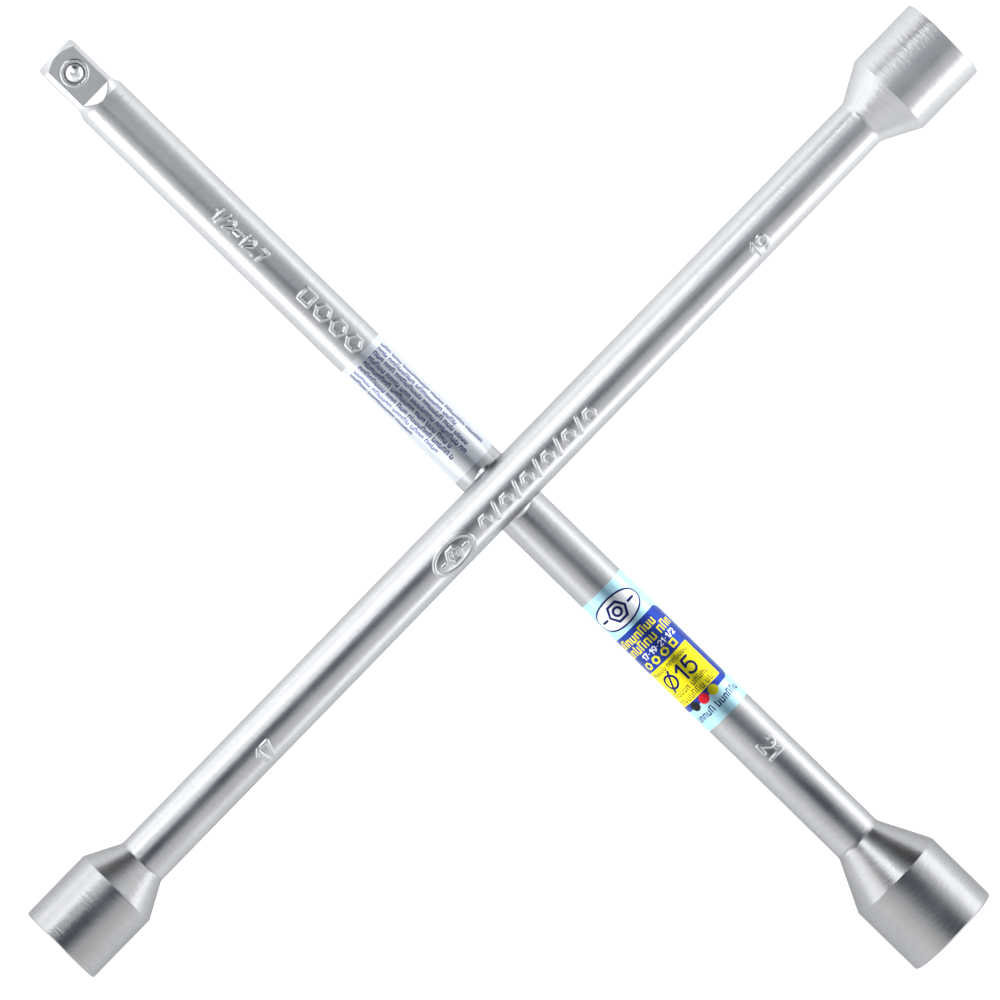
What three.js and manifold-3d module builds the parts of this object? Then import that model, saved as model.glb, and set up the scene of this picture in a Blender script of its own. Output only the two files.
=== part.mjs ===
// Four-way lug wrench, in millimetres, +Z up.
// Two round bars cross at their middles and lie on a surface. The front bar runs along X and lies
// on top, with a 17 mm socket at -X and a 19 mm socket at +X. The rear bar runs along Y, with a
// 21 mm socket at -Y and a half-inch square drive with a detent ball at +Y.
// The origin is under the crossing, on the surface that the largest socket rests on.

import * as THREE from 'three';
import { mergeVertices } from 'three/addons/utils/BufferGeometryUtils.js';
import Module from 'manifold-3d';

const wasm = await Module();
wasm.setup();

// The bars
const BAR_RADIUS = 7.5;
const BAR_SEGMENTS = 48;

// The sockets. Each has its mouth at a distance from the crossing, then a straight barrel, then a
// cone that comes down to the bar.
const SOCKET_17 = { mouth: 175, flats: 17, radius: 12.75, barrel: 22.2, cone: 9.9, hexDepth: 19 };
const SOCKET_19 = { mouth: 175, flats: 19, radius: 13.3, barrel: 21.8, cone: 10.7, hexDepth: 19 };
const SOCKET_21 = { mouth: 175.6, flats: 21, radius: 14.65, barrel: 22.5, cone: 14.4, hexDepth: 20 };
const SOCKET_SEGMENTS = 72;
const HEX_PLAY = 0.2;
const RIM_CHAMFER = 0.4;
const LEAD_IN = 0.4;
const RELIEF_DEPTH = 3.5;
const RELIEF_PLAY = 1.2;
const DRILL_POINT_SLOPE = 0.6;

// The crossing: each bar is notched for the other, and they are welded between the notches' floors.
const AXIS_OFFSET = 8;
const REAR_AXIS_Z = SOCKET_21.radius;
const FRONT_AXIS_Z = REAR_AXIS_Z + AXIS_OFFSET;
const NOTCH_FLOOR = AXIS_OFFSET / 2;
const NOTCH_SEGMENTS = 96;
const FIT_GAP = 0.3;
const WELD_RADIUS = 4;
const WELD_RISE = 0.8;
const WELD_SEGMENTS = 32;

// The square drive, pressed from the end of the rear bar. Its corners are rounded to a radius.
const DRIVE_TIP = 172.7;
const DRIVE_ACROSS_FLATS = 12.7;
const DRIVE_CORNER_RADIUS = 8;
const DRIVE_FLAT_START = DRIVE_TIP - 15.8;
const DRIVE_RAMP = 2.6;
const DRIVE_TIP_RADIUS = 5.7;

// The detent in the drive's top flat: a ball, pushed out by a spring, behind a staked lip
const BALL_RADIUS = 3.175;
const BALL_FROM_TIP = 7.7;
const BALL_CENTRE_DEPTH = 1.75;
const BORE_RADIUS = 3.4;
const BORE_MOUTH_RADIUS = 3;
const BORE_LIP_DEPTH = 0.9;
const BORE_DEPTH = 9.6;
const BORE_SEGMENTS = 40;
const SPRING_RADIUS = 2.4;
const SPRING_WIRE_RADIUS = 0.3;
const SPRING_TURNS = 3.5;
const SPRING_STEPS_PER_TURN = 16;
const SPRING_SIDES = 8;

// How far the tool that cuts the notches reaches from the crossing
const CUTTER_REACH = 175;

// The labels, stuck round the rear bar. Places are along the bar, from the crossing.
const LABEL_THICKNESS = 0.2;
const LABEL_GAP = 0.1;
const MAIN_LABEL = { start: -38.6, length: 49.3, wrapDegrees: 300 };
const INFO_LABEL = { start: 54.7, length: 44, wrapDegrees: 300 };

const satinSteel = new THREE.MeshStandardMaterial({ color: 0xb4b6b8, roughness: 0.36, metalness: 1 });
const turnedSteel = new THREE.MeshStandardMaterial({ color: 0xbdbfc0, roughness: 0.3, metalness: 1 });
const ballSteel = new THREE.MeshStandardMaterial({ color: 0xc8cacc, roughness: 0.12, metalness: 1 });
const springSteel = new THREE.MeshStandardMaterial({ color: 0x7d7f82, roughness: 0.35, metalness: 1 });
const weldSteel = new THREE.MeshStandardMaterial({ color: 0x6d6d70, roughness: 0.6, metalness: 1 });
const printedFilm = new THREE.MeshStandardMaterial({ color: 0x2458b8, roughness: 0.35, metalness: 0 });
const paleFilm = new THREE.MeshStandardMaterial({ color: 0xdfe6f2, roughness: 0.3, metalness: 0 });

// A closed geometry as a solid that can be joined and cut
function solidOf(geometry) {
  const bare = geometry.clone();
  bare.deleteAttribute('normal');
  bare.deleteAttribute('uv');
  const merged = mergeVertices(bare, 1e-4);
  const corners = Array.from(merged.index.array);
  const kept = [];
  for (let i = 0; i < corners.length; i += 3) {
    const [a, b, c] = corners.slice(i, i + 3);
    if (a !== b && b !== c && c !== a) {
      kept.push(a, b, c);
    }
  }
  return new wasm.Manifold(new wasm.Mesh({
    numProp: 3,
    vertProperties: new Float32Array(merged.attributes.position.array),
    triVerts: new Uint32Array(kept),
  }));
}

// A solid back as a geometry with flat faces
function geometryOf(solid) {
  const mesh = solid.getMesh();
  const geometry = new THREE.BufferGeometry();
  geometry.setAttribute('position', new THREE.BufferAttribute(new Float32Array(mesh.vertProperties), 3));
  geometry.setIndex(new THREE.BufferAttribute(new Uint32Array(mesh.triVerts), 1));
  geometry.computeVertexNormals();
  return geometry;
}

function namedMesh(name, geometry, material) {
  const mesh = new THREE.Mesh(geometry, material);
  mesh.name = name;
  return mesh;
}

// A solid of revolution about Y, from [radius, height] pairs that go up from axis to axis
function turned(outline, segments) {
  return new THREE.LatheGeometry(outline.map(([radius, y]) => new THREE.Vector2(radius, y)), segments);
}

// A straight prism of an outline in XY, centred on Z
function prism(outline, depth) {
  const shape = new THREE.Shape(outline.map(([x, y]) => new THREE.Vector2(x, y)));
  return new THREE.ExtrudeGeometry(shape, { depth, bevelEnabled: false }).translate(0, 0, -depth / 2);
}

function buttEnd({ mouth, barrel, cone }) {
  return mouth - barrel - cone;
}

// A socket along +Y
function socketGeometry({ mouth, flats, radius, barrel, cone, hexDepth }) {
  const coneStart = buttEnd({ mouth, barrel, cone });
  const body = solidOf(turned([
    [0, coneStart],
    [BAR_RADIUS, coneStart],
    [radius, mouth - barrel],
    [radius, mouth - RIM_CHAMFER],
    [radius - RIM_CHAMFER, mouth],
    [0, mouth],
  ], SOCKET_SEGMENTS));

  const cornerRadius = (flats + HEX_PLAY) / Math.sqrt(3);
  const corners = [];
  for (let i = 0; i < 6; i += 1) {
    const angle = (i * Math.PI) / 3;
    corners.push([cornerRadius * Math.cos(angle), cornerRadius * Math.sin(angle)]);
  }
  const hexLength = hexDepth + 1;
  const hexHole = prism(corners, hexLength).rotateX(Math.PI / 2);
  hexHole.translate(0, mouth - hexDepth + hexLength / 2, 0);

  const reliefRadius = (flats - RELIEF_PLAY) / 2;
  const reliefFloor = mouth - hexDepth - RELIEF_DEPTH;
  const relief = turned([
    [0, reliefFloor - DRILL_POINT_SLOPE * reliefRadius],
    [reliefRadius, reliefFloor],
    [reliefRadius, mouth - 1],
    [0, mouth - 1],
  ], SOCKET_SEGMENTS);

  const mouthRadius = cornerRadius + LEAD_IN;
  const leadIn = turned([
    [0, mouth - mouthRadius],
    [mouthRadius + 1, mouth + 1],
    [0, mouth + 1],
  ], SOCKET_SEGMENTS);

  const cut = body.subtract(solidOf(hexHole)).subtract(solidOf(relief)).subtract(solidOf(leadIn));
  return geometryOf(cut);
}

// The tool that cuts a bar's notch, for a bar along Y whose notch opens up.
// The other bar lies across it, AXIS_OFFSET above.
function notchCutter() {
  const tool = turned([
    [0, -CUTTER_REACH],
    [BAR_RADIUS + FIT_GAP, -CUTTER_REACH],
    [BAR_RADIUS + FIT_GAP, CUTTER_REACH],
    [0, CUTTER_REACH],
  ], NOTCH_SEGMENTS);
  tool.rotateZ(Math.PI / 2).translate(0, 0, AXIS_OFFSET);
  const keepHeight = 4 * BAR_RADIUS;
  const above = new THREE.BoxGeometry(2 * CUTTER_REACH, 2 * CUTTER_REACH, keepHeight);
  above.translate(0, 0, NOTCH_FLOOR - FIT_GAP / 2 + keepHeight / 2);
  const trough = solidOf(tool).intersect(solidOf(above));

  const pocket = turned(lensOutline(WELD_RADIUS + FIT_GAP, WELD_RISE + FIT_GAP), WELD_SEGMENTS);
  pocket.rotateX(Math.PI / 2).translate(0, 0, NOTCH_FLOOR);
  return trough.add(solidOf(pocket));
}

// Half the outline of a lens, as [radius, height] pairs
function lensOutline(radius, rise) {
  const steps = 12;
  const outline = [];
  for (let i = 0; i <= steps; i += 1) {
    const angle = Math.PI * (i / steps - 0.5);
    const reach = i === 0 || i === steps ? 0 : radius * Math.cos(angle);
    outline.push([reach, rise * Math.sin(angle)]);
  }
  return outline;
}

// The front shank, with its notch facing up
function frontShankGeometry() {
  const bar = solidOf(turned([
    [0, -buttEnd(SOCKET_17) + FIT_GAP],
    [BAR_RADIUS, -buttEnd(SOCKET_17) + FIT_GAP],
    [BAR_RADIUS, buttEnd(SOCKET_19) - FIT_GAP],
    [0, buttEnd(SOCKET_19) - FIT_GAP],
  ], BAR_SEGMENTS));
  return geometryOf(bar.subtract(notchCutter()));
}

function rearShankGeometry() {
  const tipChamfer = DRIVE_CORNER_RADIUS - DRIVE_TIP_RADIUS;
  let bar = solidOf(turned([
    [0, -buttEnd(SOCKET_21) + FIT_GAP],
    [BAR_RADIUS, -buttEnd(SOCKET_21) + FIT_GAP],
    [BAR_RADIUS, DRIVE_FLAT_START - DRIVE_RAMP],
    [DRIVE_CORNER_RADIUS, DRIVE_FLAT_START],
    [DRIVE_CORNER_RADIUS, DRIVE_TIP - tipChamfer],
    [DRIVE_TIP_RADIUS, DRIVE_TIP],
    [0, DRIVE_TIP],
  ], BAR_SEGMENTS));
  bar = bar.subtract(notchCutter());

  // Four flats, each with a ramp up to the round bar
  const flat = DRIVE_ACROSS_FLATS / 2;
  const rise = 4;
  const rampRun = (rise * DRIVE_RAMP) / (BAR_RADIUS - flat);
  const flatCutter = prism([
    [flat, DRIVE_FLAT_START],
    [flat + rise, DRIVE_FLAT_START - rampRun],
    [flat + rise, DRIVE_TIP + 1],
    [flat, DRIVE_TIP + 1],
  ], 3 * BAR_RADIUS);
  for (let i = 0; i < 4; i += 1) {
    bar = bar.subtract(solidOf(flatCutter.clone().rotateY((i * Math.PI) / 2)));
  }

  const bore = turned([
    [0, -BORE_DEPTH - DRILL_POINT_SLOPE * SPRING_RADIUS],
    [SPRING_RADIUS, -BORE_DEPTH],
    [BORE_RADIUS, -BORE_DEPTH],
    [BORE_RADIUS, -BORE_LIP_DEPTH],
    [BORE_MOUTH_RADIUS, 0],
    [BORE_MOUTH_RADIUS, 1],
    [0, 1],
  ], BORE_SEGMENTS);
  bore.rotateX(Math.PI / 2).translate(0, DRIVE_TIP - BALL_FROM_TIP, flat);
  return geometryOf(bar.subtract(solidOf(bore)));
}

// The spring between the bore's floor and the ball
function springGeometry() {
  const low = -BORE_DEPTH + FIT_GAP + SPRING_WIRE_RADIUS;
  const high = -BALL_CENTRE_DEPTH - BALL_RADIUS - FIT_GAP - SPRING_WIRE_RADIUS;
  class Coil extends THREE.Curve {
    getPoint(t, target = new THREE.Vector3()) {
      const angle = 2 * Math.PI * SPRING_TURNS * t;
      const height = low + (high - low) * t;
      return target.set(SPRING_RADIUS * Math.cos(angle), SPRING_RADIUS * Math.sin(angle), height);
    }
  }
  const section = [];
  for (let i = 0; i < SPRING_SIDES; i += 1) {
    const angle = (2 * Math.PI * i) / SPRING_SIDES;
    const point = new THREE.Vector2(Math.cos(angle), Math.sin(angle));
    section.push(point.multiplyScalar(SPRING_WIRE_RADIUS));
  }
  return new THREE.ExtrudeGeometry(new THREE.Shape(section), {
    steps: SPRING_TURNS * SPRING_STEPS_PER_TURN,
    extrudePath: new Coil(),
  });
}

// A film round the top of a bar along Y, from its start towards -Y
function labelGeometry({ length, wrapDegrees }) {
  const inside = BAR_RADIUS + LABEL_GAP;
  const outside = inside + LABEL_THICKNESS;
  const half = THREE.MathUtils.degToRad(wrapDegrees / 2);
  const from = Math.PI / 2 - half;
  const to = Math.PI / 2 + half;
  const shape = new THREE.Shape();
  shape.absarc(0, 0, outside, from, to, false);
  shape.absarc(0, 0, inside, to, from, true);
  shape.closePath();
  const curveSegments = (BAR_SEGMENTS * wrapDegrees) / 360;
  const film = new THREE.ExtrudeGeometry(shape, { depth: length, bevelEnabled: false, curveSegments });
  return film.rotateX(Math.PI / 2);
}

// Front bar, on top, along X
const frontBar = new THREE.Group();
frontBar.position.z = FRONT_AXIS_Z;
frontBar.rotation.z = -Math.PI / 2;
const socket17 = namedMesh('socket_17', socketGeometry(SOCKET_17), turnedSteel);
socket17.rotation.z = Math.PI;
const frontShank = namedMesh('front_shank', frontShankGeometry(), satinSteel);
frontShank.rotation.y = Math.PI;
frontBar.add(
  frontShank,
  socket17,
  namedMesh('socket_19', socketGeometry(SOCKET_19), turnedSteel),
);

// Rear bar, underneath, along Y
const rearBar = new THREE.Group();
rearBar.position.z = REAR_AXIS_Z;
const socket21 = namedMesh('socket_21', socketGeometry(SOCKET_21), turnedSteel);
socket21.rotation.z = Math.PI;
rearBar.add(namedMesh('rear_shank', rearShankGeometry(), satinSteel), socket21);

const detent = new THREE.Group();
detent.position.set(0, DRIVE_TIP - BALL_FROM_TIP, DRIVE_ACROSS_FLATS / 2);
const ball = namedMesh('detent_ball', new THREE.SphereGeometry(BALL_RADIUS, 32, 20), ballSteel);
ball.position.z = -BALL_CENTRE_DEPTH;
detent.add(ball, namedMesh('detent_spring', springGeometry(), springSteel));

const mainLabel = namedMesh('size_label', labelGeometry(MAIN_LABEL), printedFilm);
mainLabel.position.y = MAIN_LABEL.start;
const infoLabel = namedMesh('info_label', labelGeometry(INFO_LABEL), paleFilm);
infoLabel.position.y = INFO_LABEL.start;
rearBar.add(detent, mainLabel, infoLabel);

// The weld that joins the bars, between the floors of the two notches
const weld = turned(lensOutline(WELD_RADIUS, WELD_RISE), WELD_SEGMENTS).rotateX(Math.PI / 2);
const centreWeld = namedMesh('centre_weld', weld, weldSteel);
centreWeld.position.z = REAR_AXIS_Z + NOTCH_FLOOR;

const wrench = new THREE.Group();
wrench.add(frontBar, rearBar, centreWeld);

export default wrench;
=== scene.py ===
import math

import bpy
import numpy as np
from mathutils import Matrix, Vector


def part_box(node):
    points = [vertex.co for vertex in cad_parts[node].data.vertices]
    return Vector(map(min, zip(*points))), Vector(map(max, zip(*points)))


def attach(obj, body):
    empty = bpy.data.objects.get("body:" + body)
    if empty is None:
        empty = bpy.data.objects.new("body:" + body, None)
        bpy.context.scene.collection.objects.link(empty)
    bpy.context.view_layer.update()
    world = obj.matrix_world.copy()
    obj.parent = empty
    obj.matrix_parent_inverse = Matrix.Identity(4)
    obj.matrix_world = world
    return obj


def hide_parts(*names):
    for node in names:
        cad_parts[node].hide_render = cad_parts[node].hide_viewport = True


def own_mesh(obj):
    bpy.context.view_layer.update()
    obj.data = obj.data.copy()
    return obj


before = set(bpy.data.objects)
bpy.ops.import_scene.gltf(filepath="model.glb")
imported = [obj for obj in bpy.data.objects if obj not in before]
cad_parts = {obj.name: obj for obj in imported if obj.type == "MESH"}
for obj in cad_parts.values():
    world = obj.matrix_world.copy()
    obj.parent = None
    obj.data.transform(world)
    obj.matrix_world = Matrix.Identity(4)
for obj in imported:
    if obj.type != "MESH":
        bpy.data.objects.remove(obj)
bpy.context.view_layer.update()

MM = 0.001
WRENCH = "wrench"
BALL = "ball"
UP = np.array([0.0, 0.0, 1.0])


def millimetres(node):
    """Lowest and highest corner of a CAD node."""
    low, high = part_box(node)
    return np.array(low) / MM, np.array(high) / MM


# ---------------------------------------------------------------- sizes, from the frame
def middle_height(node):
    low, high = millimetres(node)
    return (low[2] + high[2]) / 2


FRONT_Z = middle_height("socket_19")
REAR_Z = middle_height("socket_21")
AXIS_OFFSET = FRONT_Z - REAR_Z
BAR_RADIUS = (millimetres("front_shank")[1][1] - millimetres("front_shank")[0][1]) / 2

# Each socket's hexagon and barrel, and how round its cone's small and large ends are
SOCKETS = {
    "socket_17": {
        "flats": 17.2, "barrel": 22.2, "hex_depth": 19.0, "neck_round": 0.8, "shoulder_round": 0.5,
    },
    "socket_19": {
        "flats": 19.2, "barrel": 21.8, "hex_depth": 19.0, "neck_round": 3.0, "shoulder_round": 0.8,
    },
    "socket_21": {
        "flats": 21.2, "barrel": 22.5, "hex_depth": 20.0, "neck_round": 2.5, "shoulder_round": 0.5,
    },
}
RIM_CHAMFER = 0.4
RIM_ROUND = 0.25
NECK_MARGIN = 0.4
AROUND_SOCKET = 240

# Inside a socket: the lead-in of its mouth, the hexagon's slightly rounded corners, and the drilled
# relief behind it, which is this much narrower than the hexagon and ends in a drill's point
LEAD_IN = 0.4
LEAD_IN_EDGE = 0.08
HEX_CORNER_CUT = 0.12
HEX_CORNER_BLEND = 0.15
RELIEF_DEPTH = 3.5
RELIEF_PLAY = 1.4
DRILL_POINT_SLOPE = 0.6

# The notch in each bar, and the lips of metal that it pushed up
SADDLE_GAP = 0.05
LIP_RUN = 1.05
LIP_RISE = 0.6
LIP_HALF_LENGTH = 3.3

# The half-inch square drive: its tip's distance from the crossing, and half its width across flats
# and across its rounded corners
DRIVE_TIP = millimetres("rear_shank")[1][1]
DRIVE_FLAT = 12.7 / 2
DRIVE_CORNER = 8.0
DRIVE_LENGTH = 15.8
DRIVE_RAMP = 2.6
DRIVE_TIP_RADIUS = 5.7
EDGE_ROUND = 0.1

# The detent: the ball, its bore, the window in the flat that the bore hangs from, and the spring
BALL_LOW, BALL_HIGH = millimetres("detent_ball")
BALL_CENTRE = (BALL_LOW + BALL_HIGH) / 2
BALL_RADIUS = (BALL_HIGH[2] - BALL_LOW[2]) / 2
BORE_RADIUS = 3.4
BORE_DEPTH = 9.6
BORE_WINDOW = 4.15
BORE_POINT = 0.4
SPRING_LOW, SPRING_HIGH = millimetres("detent_spring")
SPRING_WIRE = 0.3
SPRING_TURNS = 3.5

# The labels' film, and how far it goes round the bar on each side of the crest
FILM = 0.12
FILM_GAP = 0.01
WRAP = math.radians(150)

# The relief of the marks on the bars
MARK_RISE = 0.4
MARK_WIDTH = 0.62
FINE_WIDTH = 0.5


# ---------------------------------------------------------------- small geometry helpers
class Bar:
    """A round bar. Places on it are given along it, by angle from its crest, and by radius."""

    def __init__(self, along, height):
        self.along = np.array(along, float)
        self.side = np.cross(UP, self.along)
        self.height = height

    def at(self, along, angle, radius):
        along, angle, radius = np.broadcast_arrays(along, angle, radius)
        out = np.outer(along, self.along) + np.outer(radius * np.sin(angle), self.side)
        return out + np.outer(self.height + radius * np.cos(angle), UP)


FRONT = Bar((1, 0, 0), FRONT_Z)
REAR = Bar((0, -1, 0), REAR_Z)
HEAD_BARS = {
    "socket_17": Bar((-1, 0, 0), FRONT_Z),
    "socket_19": Bar((1, 0, 0), FRONT_Z),
    "socket_21": Bar((0, -1, 0), REAR_Z),
}


def loft(rings):
    """Points and faces of the skin over rings of equally many points, each end closed by a fan."""
    count = len(rings[0])
    here = np.arange(count)
    there = np.roll(here, -1)
    faces = []
    for i in range(len(rings) - 1):
        low, high = i * count, (i + 1) * count
        faces += np.stack([low + here, high + here, high + there, low + there], 1).tolist()
    points = np.concatenate(rings + [rings[0].mean(0)[None], rings[-1].mean(0)[None]])
    first, last = len(points) - 2, len(points) - 1
    top = (len(rings) - 1) * count
    faces += [(first, int(j), int(k)) for j, k in zip(here, there)]
    faces += [(last, int(top + k), int(top + j)) for j, k in zip(here, there)]
    return points, faces


def stations(low, high, step, *zones):
    """Places from low to high, a step apart, and closer together in each zone (from, to, step)."""
    cuts = sorted({low, high, *(min(max(z[k], low), high) for z in zones for k in (0, 1))})
    places = []
    for start, end in zip(cuts, cuts[1:]):
        middle = (start + end) / 2
        fine = min([step] + [z[2] for z in zones if z[0] <= middle <= z[1]])
        count = max(1, math.ceil((end - start) / fine - 1e-6))
        places += [start + (end - start) * k / count for k in range(count)]
    return np.array(places + [high])


def soft_min(a, b, blend):
    """The smaller of two, with a rounded changeover."""
    mix = np.clip(0.5 + 0.5 * (b - a) / blend, 0, 1)
    return b * (1 - mix) + a * mix - blend * mix * (1 - mix)


def smooth_step(low, high, value):
    t = np.clip((value - low) / (high - low), 0, 1)
    return t * t * (3 - 2 * t)


def rounded(outline, radii, steps=8):
    """An open outline of [x, y] points, with its inner corners rounded."""
    points = [np.array(p, float) for p in outline]
    out = [points[0]]
    for before, corner, after, radius in zip(points, points[1:], points[2:], radii):
        to_before = (before - corner) / np.linalg.norm(before - corner)
        to_after = (after - corner) / np.linalg.norm(after - corner)
        turn = math.pi - math.acos(np.clip(to_before @ to_after, -1, 1))
        if radius == 0 or turn < 1e-3:
            out.append(corner)
            continue
        reach = radius * math.tan(turn / 2)
        start, end = corner + to_before * reach, corner + to_after * reach
        inward = to_before + to_after
        centre = corner + inward / np.linalg.norm(inward) * radius / math.cos(turn / 2)
        for k in range(steps + 1):
            chord = start + (end - start) * k / steps - centre
            out.append(centre + chord / np.linalg.norm(chord) * radius)
    out.append(points[-1])
    return np.array(out)


def piece(name, points, faces, material, body, slot, *nodes, crease=35):
    """A mesh object that rides on a body and stands for CAD nodes. Its points are in millimetres."""
    mesh = bpy.data.meshes.new(name)
    mesh.from_pydata((np.asarray(points) * MM).tolist(), [], faces)
    mesh.validate()
    mesh.shade_smooth()
    mesh.set_sharp_from_angle(angle=math.radians(crease))
    mesh.materials.append(material)
    made = bpy.data.objects.new(name, mesh)
    bpy.context.scene.collection.objects.link(made)
    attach(made, body)
    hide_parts(*nodes)
    return made


# ---------------------------------------------------------------- strokes for marks and print
def arc(cx, cy, rx, ry, start, end, steps=14):
    """Points on part of an ellipse, from one angle to another, in degrees."""
    turns = np.radians(np.linspace(start, end, steps))
    return [(cx + rx * math.cos(a), cy + ry * math.sin(a)) for a in turns]


# Numbers and signs, one unit high: each one's width and its strokes
GLYPHS = {
    "1": (0.36, [[(0.02, 0.72), (0.3, 1.0), (0.3, 0.0)]]),
    "2": (0.66, [arc(0.31, 0.69, 0.29, 0.3, 165, -35) + [(0.0, 0.0), (0.62, 0.0)]]),
    "5": (0.64, [
        [(0.56, 1.0), (0.12, 1.0), (0.06, 0.56)] + arc(0.28, 0.33, 0.32, 0.33, 120, -150),
    ]),
    "7": (0.62, [[(0.0, 1.0), (0.6, 1.0), (0.2, 0.0)]]),
    "9": (0.66, [arc(0.34, 0.67, 0.3, 0.33, 0, 360, 24), arc(0.16, 0.67, 0.48, 0.66, 0, -78)]),
    "/": (0.5, [[(0.0, -0.08), (0.46, 1.08)]]),
    "=": (0.6, [[(0.05, 0.62), (0.5, 0.62)], [(0.05, 0.34), (0.5, 0.34)]]),
    ".": (0.2, [[(0.08, 0.02), (0.1, 0.02)]]),
    "-": (0.4, [[(0.12, 0.5), (0.14, 0.5)]]),
    "o": (0.9, [arc(0.42, 0.5, 0.42, 0.44, 0, 360, 30), [(0.08, -0.1), (0.76, 1.1)]]),
}
GLYPH_SPACE = 0.2


def written(text, height, centre=(0.0, 0.0)):
    """The strokes of a row of numbers, centred on a place."""
    pen, strokes = 0.0, []
    for sign in text:
        width, parts = GLYPHS[sign]
        strokes += [[(pen + x, y) for x, y in part] for part in parts]
        pen += width + GLYPH_SPACE
    shift = (pen - GLYPH_SPACE) / 2

    def placed(x, y):
        return centre[0] + (x - shift) * height, centre[1] + (y - 0.5) * height

    return [[placed(x, y) for x, y in part] for part in strokes]


def hexagon(centre, radius):
    return [arc(centre[0], centre[1], radius, radius, 0, 360, 7)]


def square(centre, half):
    x, y = centre
    turns = ((-1, -1), (1, -1), (1, 1), (-1, 1), (-1, -1))
    return [[(x + half * right, y + half * up) for right, up in turns]]


def ellipse(centre, rx, ry):
    return [arc(centre[0], centre[1], rx, ry, 0, 360, 48)]


def distance_to(strokes, x, y):
    """How far each place is from the nearest stroke."""
    best = np.full(np.shape(x), 1e6)
    for stroke in strokes:
        for (x0, y0), (x1, y1) in zip(stroke, stroke[1:]):
            dx, dy = x1 - x0, y1 - y0
            share = np.clip(((x - x0) * dx + (y - y0) * dy) / max(dx * dx + dy * dy, 1e-12), 0, 1)
            best = np.minimum(best, np.hypot(x - x0 - share * dx, y - y0 - share * dy))
    return best


def relief(strokes, x, y, width=MARK_WIDTH):
    """Height of marks that stand up from the bar with rounded tops."""
    return MARK_RISE * (1 - smooth_step(0.12 * width, width, distance_to(strokes, x, y)))


# ---------------------------------------------------------------- marks on the bars
# Places are along each bar and round it from its crest, in millimetres. A number's facts are its
# text, height and place.
FRONT_MARKS_ROUND = -2.15
BADGE = (-22.2, FRONT_MARKS_ROUND - 0.3)
BADGE_RADII = (7.0, 3.9)
ROW_START, ROW_END, ROW_COUNT = -9.5, 31.5, 11
FRONT_SIZES = (("19", 4.5, (97.9, -3.5)), ("17", 4.2, (-97.2, -3.1)))
SIGNS_START, SIGNS_PITCH, SIGNS_ROUND = -76.0, 6.0, 0.6
REAR_SIZE = ("21", 4.5, (102.7, 1.0))
DRIVE_SIZE = ("1/2=12.7", 3.5, (-101.2, -0.1))


def front_marks():
    """Badge with a nut, a row of plain nut and slash marks, and the two socket sizes."""
    strokes = ellipse(BADGE, *BADGE_RADII) + hexagon(BADGE, 2.3) + ellipse(BADGE, 0.75, 0.75)
    for side in (-1, 1):
        x = BADGE[0] + side * 4.1
        strokes.append([(x - 0.9, BADGE[1]), (x + 0.9, BADGE[1])])
    pitch = (ROW_END - ROW_START) / (ROW_COUNT - 1)
    for k in range(ROW_COUNT):
        x = ROW_START + k * pitch
        if k % 2 == 0:
            strokes += hexagon((x, FRONT_MARKS_ROUND), 1.75)
        else:
            strokes.append([(x - 0.8, FRONT_MARKS_ROUND - 2.2), (x + 0.8, FRONT_MARKS_ROUND + 2.2)])
    for size in FRONT_SIZES:
        strokes += written(*size)
    return strokes


def rear_marks():
    """The signs of the wrench's four ends, and the third socket's size."""
    strokes = square((SIGNS_START, SIGNS_ROUND), 1.8)
    for k in (1, 2, 3):
        strokes += hexagon((SIGNS_START + k * SIGNS_PITCH, SIGNS_ROUND), 2.2)
    return strokes + written(*REAR_SIZE)


# ---------------------------------------------------------------- the two bars
def neck_length(name):
    """How far a socket's rounded neck reaches onto the bar."""
    size = SOCKETS[name]
    outline = head_outline(name)
    slope = math.atan2(outline[1][1] - outline[0][1], outline[1][0] - outline[0][0])
    return size["neck_round"] * math.tan(slope / 2) + NECK_MARGIN


def head_outline(name):
    """Outside of a socket as (along, radius) points, from the cone's small end to the rim."""
    low, high = millimetres(name)
    outward = HEAD_BARS[name].along
    cone_start, mouth = sorted((abs(low @ outward), abs(high @ outward)))
    radius = (high[2] - low[2]) / 2
    return [
        (cone_start, BAR_RADIUS),
        (mouth - SOCKETS[name]["barrel"], radius),
        (mouth - RIM_CHAMFER, radius),
        (mouth, radius - RIM_CHAMFER),
    ]


def joint_place(name):
    """Where a socket's piece meets the bar's."""
    return head_outline(name)[0][0] - neck_length(name)


def saddle(from_crossing):
    """How high a notched bar still reaches over its own axis, at a distance from the crossing."""
    far = np.abs(from_crossing)
    reach = BAR_RADIUS + SADDLE_GAP
    wall = AXIS_OFFSET - np.sqrt(np.maximum(reach**2 - far**2, 0))
    notch = np.maximum(AXIS_OFFSET / 2 - SADDLE_GAP / 2, wall)
    return np.where(far < reach, notch, 2 * BAR_RADIUS)


def lip(from_crossing, round_bar):
    """Rise of the metal that the notch pushed up beside the other bar, in the shape of a crescent."""
    run = LIP_RUN * np.maximum(1 - (round_bar / LIP_HALF_LENGTH) ** 2, 0)
    share = 1 - (np.abs(from_crossing) - BAR_RADIUS - SADDLE_GAP) / np.maximum(run, 1e-3)
    return LIP_RISE * np.clip(share, 0, 1) * run / LIP_RUN


def notched(radius, along, angle_from_notch):
    """A bar's radius, raised in lips beside its notch and cut down where the notch faces."""
    facing = np.cos(angle_from_notch)
    raised = radius + lip(along, BAR_RADIUS * angle_from_notch)
    cut = saddle(along) / np.maximum(facing, 1e-3)
    return np.where(facing > 0.1, soft_min(raised, cut, EDGE_ROUND), radius)


WAVE_HEIGHT = 0.004


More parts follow.
